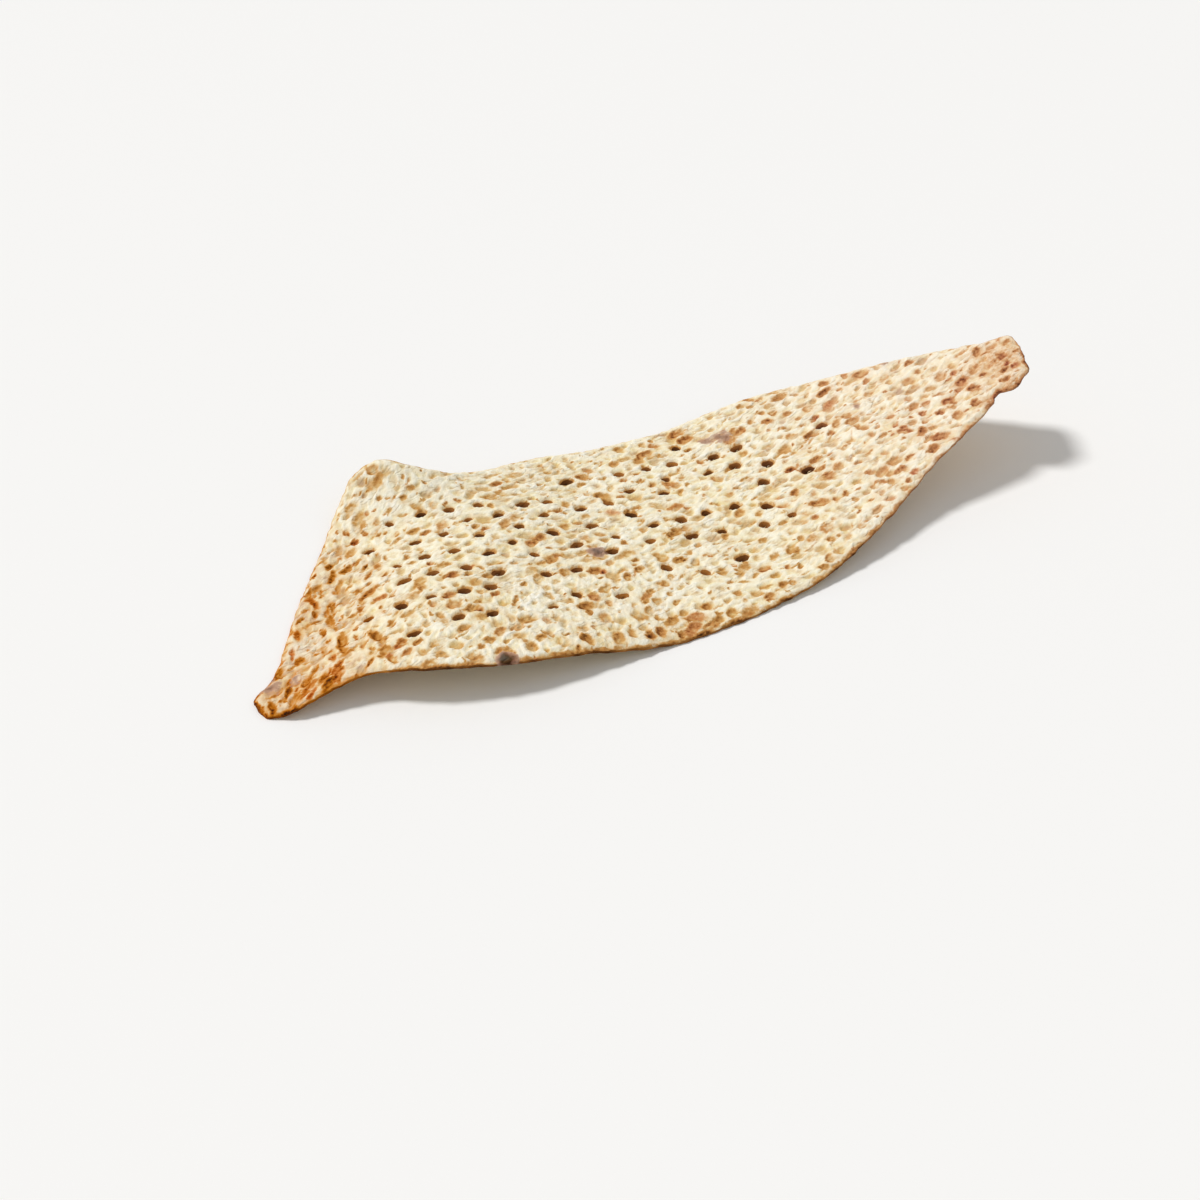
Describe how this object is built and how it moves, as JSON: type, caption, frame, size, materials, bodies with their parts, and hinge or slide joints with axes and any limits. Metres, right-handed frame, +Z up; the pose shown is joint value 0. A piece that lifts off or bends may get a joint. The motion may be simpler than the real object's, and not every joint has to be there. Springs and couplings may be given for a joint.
{
  "type": "sangak flatbread",
  "caption": "Long thin sangak flatbread with a pebble-pitted, pierced crust, a broad slanted end and a tapering tip that curls up off the table.",
  "frame": {"origin": "on the table, under the middle of the bread's box", "axes": "+X along the length towards the curled-up tip, +Y towards the back edge, +Z up out of the pebbled side"},
  "size_m": [0.7402, 0.3194, 0.0887],
  "materials": {
    "crust": "dry matte wheat crust, cream webs between golden to brown pebble marks"
  },
  "bodies": {
    "root": {"sangak_sheet": "crust"}
  },
  "joints": []
}
